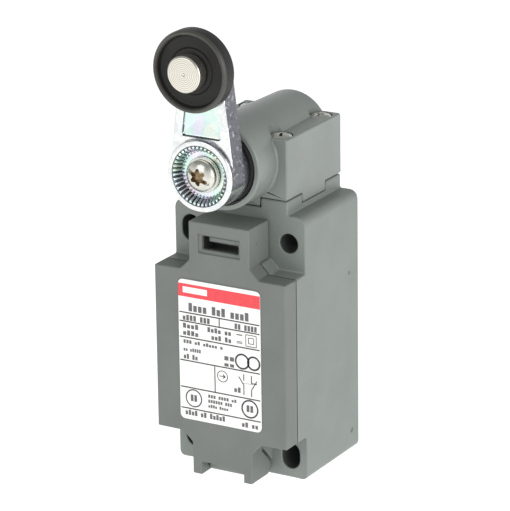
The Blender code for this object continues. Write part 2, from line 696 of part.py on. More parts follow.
body_housing()
head_housing()
head_gasket()
for where in screw_places():
    head_screw(*where)
shaft_bush()
shaft_seal()
spring_cup()
return_spring()
coil("carrier_spring", 0, CONTACT_DEPTH, (20.3, CARRIER_LOW - 0.3), 2.2, 0.35, 4, STEEL)

pivot("cover_hinge", (0, HINGE_DEPTH, HINGE_HEIGHT), [front_cover(), cover_gasket(), nameplate()])
pivot("lever_axis", (0, HUB_FRONT, AXIS_HEIGHT),
      [lever_arm(), lever_washer(), lever_screw(), roller_pin(), shaft(), cam()])
pivot("roller_axis", (0, ROLLER_FRONT, ROLLER_HEIGHT), [roller()])
pivot("tappet_axis", (0, MIDDLE_DEPTH, TAPPET_TOP), [tappet()])
pivot("carrier_axis", (0, MIDDLE_DEPTH, CARRIER_TOP), contact_block())
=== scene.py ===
# %% [markdown]
# # Roller-lever limit switch
#
# The switch is a grey moulded body with a hinged cover, a head that turns in quarter steps, and a
# zinc lever with a black roller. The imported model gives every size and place, and this script
# gives each piece its finished surface. Lengths in the cells are millimetres in the model's own
# axes: x to the right, y to the rear, z up, with the origin on the rear face.

# %% Load the frame
import json
import math

import bmesh
import bpy
import numpy as np
from mathutils import Matrix, Vector

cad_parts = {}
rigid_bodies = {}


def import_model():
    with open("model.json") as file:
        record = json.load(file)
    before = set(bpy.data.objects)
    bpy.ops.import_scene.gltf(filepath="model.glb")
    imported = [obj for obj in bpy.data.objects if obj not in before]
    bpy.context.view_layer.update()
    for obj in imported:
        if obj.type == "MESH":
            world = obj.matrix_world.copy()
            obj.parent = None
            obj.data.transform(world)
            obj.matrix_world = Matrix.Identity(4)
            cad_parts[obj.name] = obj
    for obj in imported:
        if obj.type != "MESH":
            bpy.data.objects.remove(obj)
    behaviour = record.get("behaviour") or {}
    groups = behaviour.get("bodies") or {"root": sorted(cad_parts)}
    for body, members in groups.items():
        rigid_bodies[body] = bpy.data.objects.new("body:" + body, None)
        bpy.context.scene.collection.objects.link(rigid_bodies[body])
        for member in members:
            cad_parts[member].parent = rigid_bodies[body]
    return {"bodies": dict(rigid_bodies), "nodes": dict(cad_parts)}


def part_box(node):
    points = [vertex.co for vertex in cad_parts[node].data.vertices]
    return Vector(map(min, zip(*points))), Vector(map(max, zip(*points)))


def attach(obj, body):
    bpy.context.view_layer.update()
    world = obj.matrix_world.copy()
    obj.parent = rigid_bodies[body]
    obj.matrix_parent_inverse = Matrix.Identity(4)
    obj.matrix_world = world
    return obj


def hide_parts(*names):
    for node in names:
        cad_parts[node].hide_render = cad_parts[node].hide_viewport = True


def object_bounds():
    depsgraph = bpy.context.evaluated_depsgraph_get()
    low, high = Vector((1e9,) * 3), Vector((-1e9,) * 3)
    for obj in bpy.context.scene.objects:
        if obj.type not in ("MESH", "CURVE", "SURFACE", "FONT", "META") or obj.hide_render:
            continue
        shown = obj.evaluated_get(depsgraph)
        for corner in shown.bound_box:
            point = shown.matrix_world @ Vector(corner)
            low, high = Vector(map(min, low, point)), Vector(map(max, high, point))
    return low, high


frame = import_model()
cad_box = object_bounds()
MM = 0.001


def limits(node):
    """Lowest and highest corner of a node, in millimetres."""
    return tuple(np.array(corner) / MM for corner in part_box(node))


def middle(node):
    """Centre of a node's box, in millimetres."""
    return sum(limits(node)) / 2


LEVER_AXIS = middle("shaft")
ROLLER_AXIS = middle("roller_pin")
print("CAD box in mm:", [[round(c / MM, 2) for c in corner] for corner in cad_box])
print("lever axis at z", LEVER_AXIS[2].round(2), "and roller axis at z", ROLLER_AXIS[2].round(2))

# %% [markdown]
# ## Camera
#
# The switch is looked at from its front right, a little above, with a long lens from far away, so
# its upright edges stay almost parallel. The camera could be aimed with a Track To constraint.
# Its axes are worked out here instead, because the picture also leans by less than a degree.

# %% Place the camera
AZIMUTH, ELEVATION, ROLL = (math.radians(a) for a in (30.26, 18.40, -0.79))
TARGET = Vector((-1.28, -19.0, 21.22)) * MM
DISTANCE = 883.31 * MM
LENS, SENSOR = 231.2, 36.0

back = Vector((math.sin(AZIMUTH) * math.cos(ELEVATION),
               -math.cos(AZIMUTH) * math.cos(ELEVATION), math.sin(ELEVATION)))
level = Vector((0, 0, 1)).cross(back).normalized()
upward = back.cross(level)
right = math.cos(ROLL) * level + math.sin(ROLL) * upward
up = math.cos(ROLL) * upward - math.sin(ROLL) * level

camera = bpy.data.objects.new("camera", bpy.data.cameras.new("camera"))
bpy.context.scene.collection.objects.link(camera)
camera.data.lens, camera.data.sensor_width = LENS, SENSOR
camera.data.clip_start, camera.data.clip_end = 0.05, 20.0
camera.matrix_world = Matrix.Translation(TARGET + back * DISTANCE) @ Matrix(
    (right, up, back)).transposed().to_4x4()
bpy.context.scene.camera = camera
print("camera at", [round(c, 3) for c in camera.matrix_world.translation])

# %% [markdown]
# ## Nodes and colours
#
# Every finish below is a small node tree. One function adds a node with its settings and links,
# and one function turns the hex colours people know into the linear values that light needs.

# %% Helpers for materials


def linear(hex_colour):
    """An sRGB hex colour as linear RGBA: c / 12.92 when dark, ((c + 0.055) / 1.055)^2.4 above."""
    c = np.array([int(hex_colour[i:i + 2], 16) for i in (1, 3, 5)]) / 255
    c = np.where(c <= 0.04045, c / 12.92, ((c + 0.055) / 1.055) ** 2.4)
    return (*c.tolist(), 1.0)


def add(tree, kind, links=None, stops=(), **settings):
    """A node with its settings; links maps an input to a value or to another node's output.

    stops are the (position, hex colour) pairs of a colour ramp.
    """
    made = tree.nodes.new("ShaderNode" + kind)
    for name, value in settings.items():
        setattr(made, name, value)
    while len(stops) > len(made.color_ramp.elements if stops else ()):
        made.color_ramp.elements.new(1.0)
    for index, (position, hex_colour) in enumerate(stops):
        made.color_ramp.elements[index].position = position
        made.color_ramp.elements[index].color = linear(hex_colour)
    for name, source in (links or {}).items():
        if isinstance(source, bpy.types.NodeSocket):
            tree.links.new(source, made.inputs[name])
        else:
            made.inputs[name].default_value = source
    return made


def new_material(name, **constants):
    """An empty material with its Principled shader, whose constants sit on its own sockets."""
    material = bpy.data.materials.new(name)
    material.use_nodes = True
    tree = material.node_tree
    shader = tree.nodes["Principled BSDF"]
    for socket, value in constants.items():
        shader.inputs[socket.replace("_", " ")].default_value = value
    return material, tree, shader


# %% [markdown]
# ## Moulded plastics
#
# The housing is glass-filled polyamide, moulded in a spark-eroded tool. The eye sees an even
# cool grey, fine grain that softens the shine, and faint cloudy patches where the melt met.
# The cover is drawn a shade darker and duller, and the head glossier. On a real switch all
# three may be one plastic. Some light and shade is painted on rather than lit: the walls of the
# fixing holes get a darker plastic as painted shade, and the front of the roller's rim a lighter
# black as a painted highlight. The grain is really about 0.1 mm wide and is drawn at 0.35 mm so
# that it shows.

# %% Plastics


def moulded(name, light, dark, grain, depth, **constants):
    """A moulded plastic: cloudy colour between two hex values, and grain of that width in mm."""
    material, tree, shader = new_material(name, **constants)
    place = add(tree, "TexCoord").outputs["Object"]
    cloud = add(tree, "TexNoise", {"Vector": place, "Scale": 90.0, "Detail": 3.0})
    colour = add(tree, "ValToRGB", {"Fac": cloud.outputs["Fac"]}, [(0.35, dark), (0.65, light)])
    erosion = add(tree, "TexNoise", {"Vector": place, "Scale": 1 / (grain * MM), "Detail": 2.0,
                                     "Roughness": 0.6})
    shine = add(tree, "MapRange", {"Value": erosion.outputs["Fac"], "From Min": 0.3,
                                   "From Max": 0.7, "To Min": constants["Roughness"] - 0.06,
                                   "To Max": constants["Roughness"] + 0.08})
    relief = add(tree, "Bump", {"Height": erosion.outputs["Fac"], "Strength": 0.5,
                                "Distance": depth * MM})
    tree.links.new(colour.outputs["Color"], shader.inputs["Base Color"])
    tree.links.new(shine.outputs["Result"], shader.inputs["Roughness"])
    tree.links.new(relief.outputs["Normal"], shader.inputs["Normal"])
    return material


GREY_POLYAMIDE = moulded("moulded_grey_polyamide", "#7E8480", "#797F7B", 0.35, 0.03,
                         Roughness=0.46, IOR=1.53)
HEAD_POLYAMIDE = moulded("moulded_grey_polyamide_head", "#828884", "#7C827E", 0.30, 0.02,
                         Roughness=0.34, IOR=1.56)
# Painted shade: a darker plastic for the walls of the fixing holes.
SHADED_BORE_POLYAMIDE = moulded("painted_shade_polyamide_bore", "#454947", "#383B3A", 0.40, 0.04,
                         Roughness=0.65, IOR=1.53)
COVER_POLYAMIDE = moulded("moulded_grey_polyamide_cover", "#707571", "#6B706C", 0.40, 0.04,
                          Roughness=0.60, IOR=1.53)
BLACK_ACETAL = moulded("machined_black_acetal", "#282726", "#201F1E", 0.25, 0.02,
                       Roughness=0.45, IOR=1.48, Specular_IOR_Level=0.3)
# Painted highlight: a lighter black for the front of the roller's rounded rim.
HIGHLIGHT_ACETAL = moulded("painted_highlight_acetal_rim", "#4A4945", "#3D3C39", 0.30, 0.01,
                     Roughness=0.38, IOR=1.48)
BLACK_PHENOLIC = moulded("moulded_black_phenolic", "#2A2928", "#1F1E1D", 0.30, 0.03,
                         Roughness=0.48, IOR=1.60)
CREAM_ACETAL = moulded("moulded_cream_acetal", "#DDD2B4", "#D6CAA9", 0.30, 0.02,
                       Roughness=0.40, IOR=1.48)
# Real rubber for the gaskets and seal, and also painted on the body's rim at the seam as painted
# shade.
NITRILE_AND_SEAM_SHADE = moulded("moulded_nitrile_rubber_and_seam_shade", "#242424", "#1A1A1A", 0.25, 0.03,
                  Roughness=0.70, IOR=1.52)
print("plastics:", [m.name for m in (GREY_POLYAMIDE, BLACK_ACETAL, BLACK_PHENOLIC)])

# %% [markdown]
# ## Metals
#
# The lever is zinc, pressure die-cast, tumbled bright and passivated. The film on it is thin
# enough to show weak oil-like colours in the recesses, pale green, straw and violet, that drift
# over about 7 mm. Its edges get the darker skin of the casting only where they do not face down,
# so that skin is partly the metal's own and partly painted shade. The pin is turned steel with
# rings from the tool, drawn 0.5 mm apart, and the screws are steel with plain zinc plating.
# The driver recesses and the roots of the hub's teeth get painted shade: they are painted darker
# than the metal round them, and brown in the lever's screw, because light alone leaves these
# small hollows too pale.

# %% Metals
RINGS_SCALE = 0.31    # a ring wave of scale s repeats every 0.31 / s


def metal(name, tints, drift, roughness, scratch, centre=None, rings=0.0):
    """A bare or plated metal whose tint drifts over that many mm, with fine relief.

    rings is the spacing in mm of tool marks about a forward axis through centre.
    """
    material, tree, shader = new_material(name, Metallic=1.0)
    place = add(tree, "TexCoord").outputs["Object"]
    cloud = add(tree, "TexNoise", {"Vector": place, "Scale": 1 / (drift * MM), "Detail": 2.0,
                                   "Distortion": 0.8})
    film = add(tree, "ValToRGB", {"Fac": cloud.outputs["Fac"]},
               list(zip(np.linspace(0.3, 0.7, len(tints)).tolist(), tints)))
    fine = add(tree, "TexNoise", {"Vector": place, "Scale": 1 / (scratch * MM), "Detail": 3.0})
    shine = add(tree, "MapRange", {"Value": fine.outputs["Fac"], "From Min": 0.3, "From Max": 0.7,
                                   "To Min": roughness - 0.07, "To Max": roughness + 0.07})
    height = fine.outputs["Fac"]
    if rings:
        axis = add(tree, "Mapping", {"Vector": place, "Location": -Vector(centre) * MM})
        marks = add(tree, "TexWave", {"Vector": axis.outputs["Vector"],
                                      "Scale": RINGS_SCALE / (rings * MM),
                                      "Distortion": 1.2, "Detail": 2.0},
                    wave_type="RINGS", rings_direction="Y")
        height = marks.outputs["Fac"]
        tree.links.new(height, film.inputs["Fac"])
    relief = add(tree, "Bump", {"Height": height, "Strength": 0.35, "Distance": 0.03 * MM})
    tree.links.new(film.outputs["Color"], shader.inputs["Base Color"])
    tree.links.new(shine.outputs["Result"], shader.inputs["Roughness"])
    tree.links.new(relief.outputs["Normal"], shader.inputs["Normal"])
    return material


BRIGHT_ZINC = metal("passivated_die_cast_zinc",
                    ("#DCDCD8", "#E9ECEA", "#D6DADB", "#ECEBED"), 2.5, 0.24, 0.25)
TINTED_ZINC = metal("iridescent_passivated_zinc",
                    ("#ECE7D8", "#DFEDE4", "#CFE8E0", "#DCE0EC", "#EAE1E8"), 7.0, 0.28, 0.25)
# Painted shade: darker steel for the floors of the screws' driver recesses.
SHADED_STEEL = metal("painted_shade_steel_recess", ("#3F3F3E", "#5C5B59"), 0.8, 0.40, 0.3)
# Painted shade, in brown, for the floor of the lever screw's recess.
BROWN_SHADE_STEEL = metal("brown_painted_shade_recess", ("#A08C6C", "#6E5C48"), 0.8, 0.42, 0.3)
# As-cast zinc skin. On the lever it goes only on sides that do not face down, so there it is
# partly painted shade.
CAST_ZINC_AND_SHADE = metal("as_cast_zinc_skin_and_painted_shade", ("#55565B", "#7B7D82", "#6A6A73", "#B4B6BA"), 1.1, 0.34,
                  0.35)
# Painted shade for the roots of the hub's teeth.
SHADED_ROOT_ZINC = metal("painted_shade_zinc_tooth_root", ("#4C5654", "#7C8986"), 2.0, 0.45, 0.3)
TURNED_STEEL = metal("turned_steel", ("#C3BEB1", "#E7E3D9"), 3.0, 0.32, 0.2, ROLLER_AXIS, 0.5)
PLATED_STEEL = metal("zinc_plated_steel", ("#D9DAD6", "#CFCDC2", "#C9D0CC"), 2.0, 0.24, 0.2)
SPRING_STEEL = metal("drawn_spring_steel", ("#9C9A95", "#8C8A86"), 1.5, 0.32, 0.15)
BRASS = metal("rolled_brass", ("#D9B56A", "#CCA558"), 2.5, 0.30, 0.2)
print("metals:", [m.name for m in (BRIGHT_ZINC, CAST_ZINC_AND_SHADE, TURNED_STEEL, PLATED_STEEL)])

# %% [markdown]
# ## Label film and inks
#
# The label is white polyester film with a thin clear varnish. The varnish gives a smoother
# shine than the plastic round it, and the screen-printed inks stand on it as thin layers.

# %% Film and inks


def printed(name, colour, worn, roughness):
    """A flat printed layer: ink laid slightly unevenly, on a scale of 1.5 mm, under varnish."""
    material, tree, shader = new_material(name, IOR=1.50, Coat_Weight=0.25, Coat_Roughness=0.2)
    place = add(tree, "TexCoord").outputs["Object"]
    laid = add(tree, "TexNoise", {"Vector": place, "Scale": 1 / (1.5 * MM), "Detail": 3.0})
    ink = add(tree, "ValToRGB", {"Fac": laid.outputs["Fac"]}, [(0.3, colour), (0.7, worn)])
    shine = add(tree, "MapRange", {"Value": laid.outputs["Fac"], "To Min": roughness - 0.05,
                                   "To Max": roughness + 0.05})
    tree.links.new(ink.outputs["Color"], shader.inputs["Base Color"])
    tree.links.new(shine.outputs["Result"], shader.inputs["Roughness"])
    return material


WHITE_FILM = printed("white_polyester_film", "#F6F6F3", "#F1F1EE", 0.32)
RED_INK = printed("red_screen_ink", "#EA434B", "#E33A43", 0.30)
GREY_INK = printed("grey_screen_ink", "#545356", "#656467", 0.35)
BLACK_INK = printed("black_screen_ink", "#1E1D1F", "#2C2B2D", 0.35)
print("label:", [m.name for m in (WHITE_FILM, RED_INK, BLACK_INK)])

# %% [markdown]
# ## From numpy grids to pieces
#
# Each new piece is a grid of points worked out as whole arrays. Neighbours in the grid become
# quads, a closed direction joins its last line to its first, and doubles at seams and poles
# are merged, so each piece ends as a closed skin with its faces outwards.

# %% Helpers for surfaces


def ring_grid(points, closed_rows=False):
    """(points, quads) of a grid of points whose columns always join up in a ring."""
    rows, columns = points.shape[:2]
    index = np.arange(rows * columns).reshape(rows, columns)
    index = np.hstack([index, index[:, :1]])
    if closed_rows:
        index = np.vstack([index, index[:1]])
    quads = np.stack([index[:-1, :-1], index[:-1, 1:], index[1:, 1:], index[1:, :-1]], axis=-1)
    return points.reshape(-1, 3), quads.reshape(-1, 4)


def make_mesh(name, parts):
    """One mesh from (points, quads) parts in millimetres: doubles merged, normals outwards."""
    firsts = np.cumsum([0] + [len(points) for points, _ in parts])
    points = np.vstack([points for points, _ in parts]) * MM
    quads = np.vstack([quads + first for (_, quads), first in zip(parts, firsts)])
    mesh = bpy.data.meshes.new(name)
    mesh.vertices.add(len(points))
    mesh.vertices.foreach_set("co", points.ravel().astype(np.float32))
    mesh.loops.add(quads.size)
    mesh.loops.foreach_set("vertex_index", quads.ravel().astype(np.int32))
    mesh.polygons.add(len(quads))
    mesh.polygons.foreach_set("loop_start", np.arange(0, quads.size, 4, dtype=np.int32))
    mesh.update(calc_edges=True)
    work = bmesh.new()
    work.from_mesh(mesh)
    bmesh.ops.remove_doubles(work, verts=work.verts, dist=1e-6)
    bmesh.ops.recalc_face_normals(work, faces=work.faces)
    work.to_mesh(mesh)
    work.free()
    return mesh


def finish_piece(name, mesh, materials, body, nodes=(), crease=35):
    """Makes the object, shades it smooth up to a crease angle, and gives it its body."""
    piece = bpy.data.objects.new(name, mesh)
    bpy.context.scene.collection.objects.link(piece)
    mesh.materials.clear()
    for material in materials:
        mesh.materials.append(material)
    mesh.shade_smooth()
    mesh.set_sharp_from_angle(angle=math.radians(crease))
    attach(piece, body)
    if nodes:
        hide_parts(*nodes)
    print(f"{name}: {len(mesh.vertices)} points, {len(mesh.polygons)} faces, on {body}")
    return piece


def paint(piece, material, chosen, centre, upright=False):
    """Gives a further material to the faces that chosen picks.

    chosen gets four arrays: how far each face lies along the axis through centre, its distance
    from that axis, how squarely it faces along the axis, and how much it looks up.
    """
    mesh = piece.data
    mesh.materials.append(material)
    spot, facing = np.zeros((2, len(mesh.polygons) * 3))
    mesh.polygons.foreach_get("center", spot)
    mesh.polygons.foreach_get("normal", facing)
    spot, facing = spot.reshape(-1, 3) / MM - centre, facing.reshape(-1, 3)
    axis, sign = (2, 1) if upright else (1, -1)
    across = np.hypot(spot[:, 0], spot[:, 3 - axis])
    picked = chosen(sign * (spot[:, axis] + centre[axis]), across, sign * facing[:, axis],
                    facing[:, 2])
    slots = np.zeros(len(mesh.polygons), np.int32)
    mesh.polygons.foreach_get("material_index", slots)
    slots[picked] = len(mesh.materials) - 1
    mesh.polygons.foreach_set("material_index", slots)
    print(f"  {material.name} on {int(picked.sum())} faces")


# %% [markdown]
# ## Turned shapes
#
# The roller, its pin, the washers and the screws come off a lathe or a heading press. The
# Screw modifier could turn a profile too, but a surface worked out point by point can also
# carry teeth, a thread or a driver recess, so one function makes them all.

# %% Helpers for turned shapes


def eased(profile, reach, steps=4, closed=True):
    """A profile with rounded corners.

    Corner C becomes (1-t)^2 A + 2t(1-t) C + t^2 B, where A and B lie on its two sides at
    `reach` from C, or at 0.45 of a shorter side. The ends of an open profile stay sharp.
    """
    corner = np.asarray(profile, float)
    sides = np.roll(corner, 1, axis=0) - corner, np.roll(corner, -1, axis=0) - corner
    a, b = (corner + side * np.minimum(reach / np.linalg.norm(side, axis=1), 0.45)[:, None]
            for side in sides)
    t = np.linspace(0, 1, steps)[:, None, None]
    curve = (1 - t) ** 2 * a + 2 * t * (1 - t) * corner + t ** 2 * b
    if not closed:
        curve[:, 0], curve[:, -1] = corner[0], corner[-1]
    return curve.transpose(1, 0, 2).reshape(-1, 2)


def revolve(radius, along, centre, upright=False, columns=96):
    """Points of a turned surface.

    A point at radius r and angle a is centre + r (cos a, sin a) across the axis, and `along`
    on it: forward from the rear face, or up from the origin when upright. radius and along
    hold one value for each row, or one for each point.
    """
    angle = np.linspace(0, 2 * np.pi, columns, endpoint=False)
    radius, along = (np.broadcast_to(np.asarray(a, float).reshape(len(a), -1),
                                     (len(a), columns)) for a in (radius, along))
    across, upward = radius * np.cos(angle), radius * np.sin(angle)
    if upright:
        return np.stack([centre[0] + across, centre[1] + upward, along], axis=-1)
    return np.stack([centre[0] + across, -along, centre[2] + upward], axis=-1)


def turned(name, profile, centre, material, body, nodes=(), reach=0.15, closed=False,
           columns=96):
    """A piece turned from a (radius, along) profile with its corners eased by reach."""
    profile = eased(profile, reach, closed=closed)
    grid = ring_grid(revolve(profile[:, 0], profile[:, 1], centre, columns=columns), closed)
    return finish_piece(name, make_mesh(name, [grid]), [material], body, nodes)


# %% [markdown]
# ## Moulded housings and the small inner parts
#
# The body, the cover and the head are flat-sided mouldings whose edges are rounded by about
# 0.4 mm. Lofting them would only repeat the imported shapes, so each is a welded copy of its
# node. Its flat triangles are joined into whole faces, and a Bevel rounds every sharp edge but
# those at the seam. The body's rim is painted black there, in the rubber's colour, as painted
# shade so that the narrow seam reads as a dark line. The black rim also shows when the cover
# is open.

# %% Soften the copies


def softened(node, material, body, width, crisp=(0, 0), shortest=0.0, angle=30):
    """A copy of a CAD node: doubles merged, flat faces joined, and sharp edges rounded.

    An edge is rounded where its faces meet past angle, by width or by 0.35 of the shortest
    edge that touches it. Edges whose depth lies in crisp stay sharp, as at a tight seam, and so
    do edges no longer than shortest, which are the sides of small round holes.
    """
    mesh = frame["nodes"][node].data.copy()
    work = bmesh.new()
    work.from_mesh(mesh)
    bmesh.ops.remove_doubles(work, verts=work.verts, dist=2e-6)
    bmesh.ops.dissolve_limit(work, angle_limit=math.radians(0.5), verts=work.verts,
                             edges=work.edges)
    bmesh.ops.connect_verts_concave(work, faces=work.faces)
    weight = work.edges.layers.float.new("bevel_weight_edge")
    for side in work.edges:
        room = min(near.calc_length() for end in side.verts for near in end.link_edges) / MM
        seam = all(crisp[0] < -end.co.y / MM < crisp[1] for end in side.verts)
        long_enough = side.calc_length() > shortest * MM
        if width and long_enough and not seam and side.calc_face_angle(0) > math.radians(angle):
            side[weight] = min(1.0, 0.35 * room / width)
    work.to_mesh(mesh)
    work.free()
    if "custom_normal" in mesh.attributes:
        mesh.attributes.remove(mesh.attributes["custom_normal"])
    piece = finish_piece(node + "_skin", mesh, [material], body, [node], angle)
    if width:
        edge = piece.modifiers.new("edge", "BEVEL")
        edge.width, edge.segments, edge.limit_method = width * MM, 2, "WEIGHT"
        edge.use_clamp_overlap, edge.loop_slide = False, False
        edge.miter_outer = "MITER_ARC"
        flat = piece.modifiers.new("flat", "WEIGHTED_NORMAL")
        flat.keep_sharp = True
    return piece


RIM_DEPTH = 34.1                     # front of the body's rim
SEAM, REAR = (33.9, 34.6), (-0.1, 0.1)
HOLES = [(x, 0, z) for x in (-15, 15) for z in (-30, 30)]
HOLE_REACH = 4.2                     # past the end of a slot, short of the body's sides
housing = softened("body_housing", GREY_POLYAMIDE, "body", 0.4, SEAM)
softened("front_cover", COVER_POLYAMIDE, "cover", 0.35, SEAM)
softened("head_housing", HEAD_POLYAMIDE, "body", 0.4, REAR, shortest=1.4)
# Painted shade: the body's rim at the seam gets the black rubber material, so the seam reads
# dark.
paint(housing, NITRILE_AND_SEAM_SHADE, lambda along, radius, square, lift: (np.abs(along - RIM_DEPTH) < 0.1)
      & (square > 0.9), LEVER_AXIS)
# Painted shade: the walls of the fixing holes get the darker plastic.
for hole in HOLES:
    paint(housing, SHADED_BORE_POLYAMIDE, lambda along, radius, square, lift: (radius < HOLE_REACH)
          & (np.abs(square) < 0.3), np.array(hole))

# %% [markdown]
# The contact block, the springs and the gaskets sit inside, and show when the cover is open or
# the shaft is looked at from the side. They get the same treatment with a finer edge.

# %% Inner parts
BODY_OF = {node: next(name for name, empty in frame["bodies"].items() if empty == obj.parent)
           for node, obj in frame["nodes"].items()}
INNER = (
    (BLACK_PHENOLIC, "black_plastic", 0.2, ("contact_base",)),
    (CREAM_ACETAL, "cream_plastic", 0.15, ("contact_carrier", "tappet")),
    (NITRILE_AND_SEAM_SHADE, "rubber", 0.1, ("cover_gasket", "head_gasket")),
    (BRASS, "brass", 0.1, ("closed_contact_left", "closed_contact_right",
                           "open_contact_left", "open_contact_right", "closed_bridge",
                           "open_bridge", "shaft_bush")),
    (PLATED_STEEL, "steel", 0.12, ("clamp_washer_1", "clamp_washer_2", "clamp_washer_3",
                                   "clamp_washer_4", "spring_cup", "shaft")),
    (SPRING_STEEL, "steel", 0, ("return_spring", "carrier_spring", "closed_bridge_spring",
                                "open_bridge_spring")),
    (CAST_ZINC_AND_SHADE, "zinc", 0.15, ("cam",)),
)
for material, slot, width, nodes in INNER:
    for node in nodes:
        softened(node, material, BODY_OF[node], width)

# %% [markdown]
# ## Roller
#
# The roller is machined from black acetal rod: a rounded tread, a raised rim on the front face,
# a shallow dish inside it and a low collar round the pin.

# %% Roller
ROLLER_PROFILE = [(2.6, 52.4), (6.0, 52.4), (6.25, 51.75), (9.25, 51.6), (9.75, 53.35),
                  (10.1, 53.7), (10.5, 53.7), (11.0, 52.9), (11.0, 49.1), (10.4, 48.6),
                  (2.6, 48.6)]
roller = turned("roller_turned", ROLLER_PROFILE, ROLLER_AXIS, BLACK_ACETAL, "roller",
                ["roller"], reach=0.5, closed=True, columns=128)
# Painted highlight: the front of the roller's rim gets the lighter black.
paint(roller, HIGHLIGHT_ACETAL, lambda along, radius, *_: (radius > 9.6) & (along > 52.6), ROLLER_AXIS)

# %% [markdown]
# ## Roller pin
#
# The pin is a shouldered rivet. Its head has a small chamfer and the centre mark of the lathe,
# and its tail is pressed over behind the arm.

# %% Roller pin
PIN_PROFILE = [(0, 55.85), (0.25, 55.9), (0.5, 56.22), (0.8, 56.3), (4.45, 56.3), (4.87, 55.9),
               (4.87, 52.8), (2.3, 52.8), (2.3, 41.9), (3.6, 41.9), (3.2, 41.1), (0.9, 41.1),
               (0.6, 41.4), (0, 41.4)]
turned("roller_pin_turned", PIN_PROFILE, ROLLER_AXIS, TURNED_STEEL, "lever",
       ["roller_pin"], reach=0.12)

# %% [markdown]
# ## Lever hub
#
# The hub has a ring of forty teeth on a cone in its front recess, so that the lever can also be
# clamped from that side in steps of nine degrees. A radial array of one tooth would leave
# seams. Here the cone's rows are pushed out along its normal by a triangle wave of the angle.

# %% Lever hub
TEETH = 40
HUB_COLUMNS = TEETH * 10
TOOTH_HEIGHT = 0.7
CONE_LOW, CONE_HIGH = np.array((6.65, 46.7)), np.array((8.15, 49.15))
UP_CONE = np.linspace(0, 1, 9)

floor_part = eased([(2.6, 46.6), (6.2, 46.6), (6.5, 46.65)], 0.2, closed=False)
cone = CONE_LOW + UP_CONE[:, None] * (CONE_HIGH - CONE_LOW)
outside = eased([(8.3, 49.3), (9.4, 49.3), (9.73, 48.95), (9.73, 40.2), (9.45, 39.9), (6.9, 39.9),
                 (6.9, 43.0), (2.6, 43.0)], 0.15, closed=False)
hub_profile = np.vstack([floor_part, cone, outside])
first, last = len(floor_part), len(floor_part) + len(cone)

angle = np.linspace(0, 2 * np.pi, HUB_COLUMNS, endpoint=False)
wave = 1 - np.abs((angle * TEETH / np.pi) % 2 - 1)
wave = np.clip(wave * 1.5 - 0.25, 0, 1)
normal = np.array((CONE_LOW[1] - CONE_HIGH[1], CONE_HIGH[0] - CONE_LOW[0]))
normal /= np.linalg.norm(normal)
rise = np.zeros(len(hub_profile))
rise[first:last] = TOOTH_HEIGHT * np.minimum(1, 6 * (1 - UP_CONE) + 0.35)
hub_radius = hub_profile[:, :1] + normal[0] * rise[:, None] * wave
hub_along = hub_profile[:, 1:] + normal[1] * rise[:, None] * wave
hub = ring_grid(revolve(hub_radius, hub_along, LEVER_AXIS, columns=HUB_COLUMNS), True)
print("hub:", TEETH, "teeth,",
      round(math.pi * (CONE_LOW[0] + CONE_HIGH[0]) / TEETH, 2), "mm apart")

# %% [markdown]
# ## Lever arm
#
# The arm narrows from the hub to a round end behind the roller, with a thin recessed panel in
# both faces. It is a loft between outlines seen from one centre: each row is one outline, moved
# in by a little and set at its depth, from the middle of the front panel over the rim and the
# edge to the middle of the rear panel.

# %% Lever arm
ARM_CENTRE = np.array((LEVER_AXIS[0], LEVER_AXIS[2] + 16.0))
ARM_DIRECTIONS = np.linspace(-np.pi, np.pi, 288, endpoint=False)
ARM_REAR, ARM_FRONT = 42.0, 48.0
HUB_HALF, TIP_HALF = 9.7, 6.15
SHOULDER = 3.0    # height above the shaft where the straight sides begin
LEAN = math.asin((HUB_HALF - TIP_HALF) / (ROLLER_AXIS[2] - LEVER_AXIS[2]))


def arc(centre_z, radius, start, end, count=60):
    """(x, z) points on an arc about the middle plane, with angles in radians."""
    a = np.linspace(start, end, count)
    return np.stack([radius * np.cos(a), centre_z + radius * np.sin(a)], axis=-1)


def seen_from_centre(outline):
    """Distance from ARM_CENTRE to a closed (x, z) outline in each of ARM_DIRECTIONS."""
    steps = np.linspace(0, 1, 40, endpoint=False)[:, None, None]
    dense = (outline + steps * (np.roll(outline, -1, axis=0) - outline))
    offset = dense.transpose(1, 0, 2).reshape(-1, 2) - ARM_CENTRE
    bearing = np.arctan2(offset[:, 1], offset[:, 0])
    order = np.argsort(bearing)
    return np.interp(ARM_DIRECTIONS, bearing[order], np.linalg.norm(offset, axis=1)[order],
                     period=2 * np.pi)


hub_top = arc(LEVER_AXIS[2], 9.0, math.radians(140), math.radians(40))
corner = np.array(((HUB_HALF - SHOULDER * math.sin(LEAN)) / math.cos(LEAN),
                   LEVER_AXIS[2] + SHOULDER))
arm_edge = seen_from_centre(np.vstack([
    arc(ROLLER_AXIS[2], TIP_HALF, LEAN, math.pi - LEAN), [corner * (-1, 1)], hub_top, [corner]]))
panel_z = LEVER_AXIS[2] + np.array((10.0, 20.5))
panel_edge = seen_from_centre(eased([(-5.9, panel_z[0]), (5.9, panel_z[0]), (4.6, panel_z[1]),
                                     (-4.6, panel_z[1])], 1.0, steps=8))

